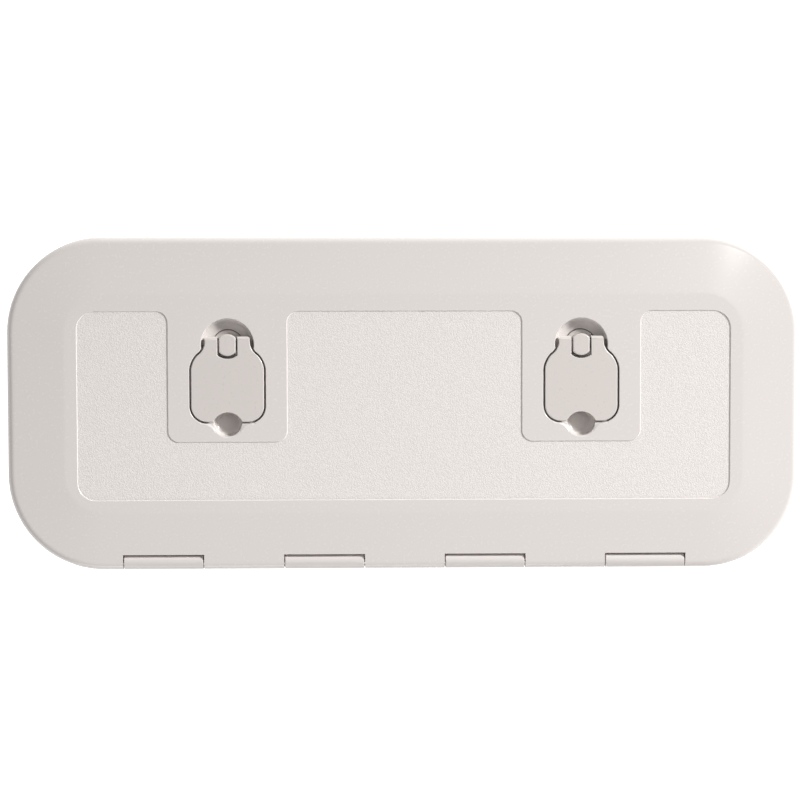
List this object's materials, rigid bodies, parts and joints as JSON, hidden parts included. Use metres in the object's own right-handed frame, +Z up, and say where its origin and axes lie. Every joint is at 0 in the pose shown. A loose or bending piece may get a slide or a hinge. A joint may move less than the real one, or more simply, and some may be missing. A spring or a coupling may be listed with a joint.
{
  "type": "deck hatch",
  "caption": "Low locker hatch for a boat deck: a hinged lid with a non-slip panel and fold-flat lift-and-turn handles, on a flanged frame with a coaming.",
  "frame": {"origin": "middle of the frame's flange, on its underside, which is the deck's surface", "axes": "+X along the hinge, +Y from the hinge side to the latch side, +Z up, away from the deck"},
  "size_m": [0.6, 0.252, 0.04],
  "materials": {
    "frame_plastic": "moulded, satin",
    "lid_plastic": "moulded gloss border, pebbled matt panel",
    "latch_plastic": "moulded gloss",
    "cam_nylon": "moulded, matt",
    "seal_rubber": "matt",
    "stainless_steel": "satin"
  },
  "bodies": {
    "frame": {"frame": "frame_plastic", "hinge_rod": "stainless_steel"},
    "lid": {"lid": "lid_plastic", "lid_seal": "seal_rubber"},
    "latch_left": {"barrel_left": "latch_plastic", "barrel_o_ring_left": "seal_rubber", "wave_washer_left": "stainless_steel", "flat_washer_left": "stainless_steel", "cam_left": "cam_nylon", "cam_screw_left": "stainless_steel", "handle_pin_left": "stainless_steel"},
    "handle_left": {"handle_left": "latch_plastic"},
    "latch_right": {"barrel_right": "latch_plastic", "barrel_o_ring_right": "seal_rubber", "wave_washer_right": "stainless_steel", "flat_washer_right": "stainless_steel", "cam_right": "cam_nylon", "cam_screw_right": "stainless_steel", "handle_pin_right": "stainless_steel"},
    "handle_right": {"handle_right": "latch_plastic"}
  },
  "joints": [
    {"name": "lid_open", "type": "hinge", "parent": "frame", "child": "lid", "pos_m": [0, -0.1205, 0.0075], "axis": [1, 0, 0], "range_deg": [0, 180]},
    {"name": "latch_turn_left", "type": "hinge", "parent": "lid", "child": "latch_left", "pos_m": [-0.1337, 0.0444, 0], "axis": [0, 0, 1], "range_deg": [0, 90]},
    {"name": "handle_lift_left", "type": "hinge", "parent": "latch_left", "child": "handle_left", "pos_m": [-0.1337, 0.0484, 0.0125], "axis": [-1, 0, 0], "range_deg": [0, 90]},
    {"name": "latch_turn_right", "type": "hinge", "parent": "lid", "child": "latch_right", "pos_m": [0.1337, 0.0444, 0], "axis": [0, 0, 1], "range_deg": [0, 90]},
    {"name": "handle_lift_right", "type": "hinge", "parent": "latch_right", "child": "handle_right", "pos_m": [0.1337, 0.0484, 0.0125], "axis": [-1, 0, 0], "range_deg": [0, 90]}
  ],
  "couplings": [
    {"joint": "latch_turn_left", "follows": "handle_lift_left", "ratio": 1},
    {"joint": "latch_turn_right", "follows": "handle_lift_right", "ratio": 1}
  ]
}
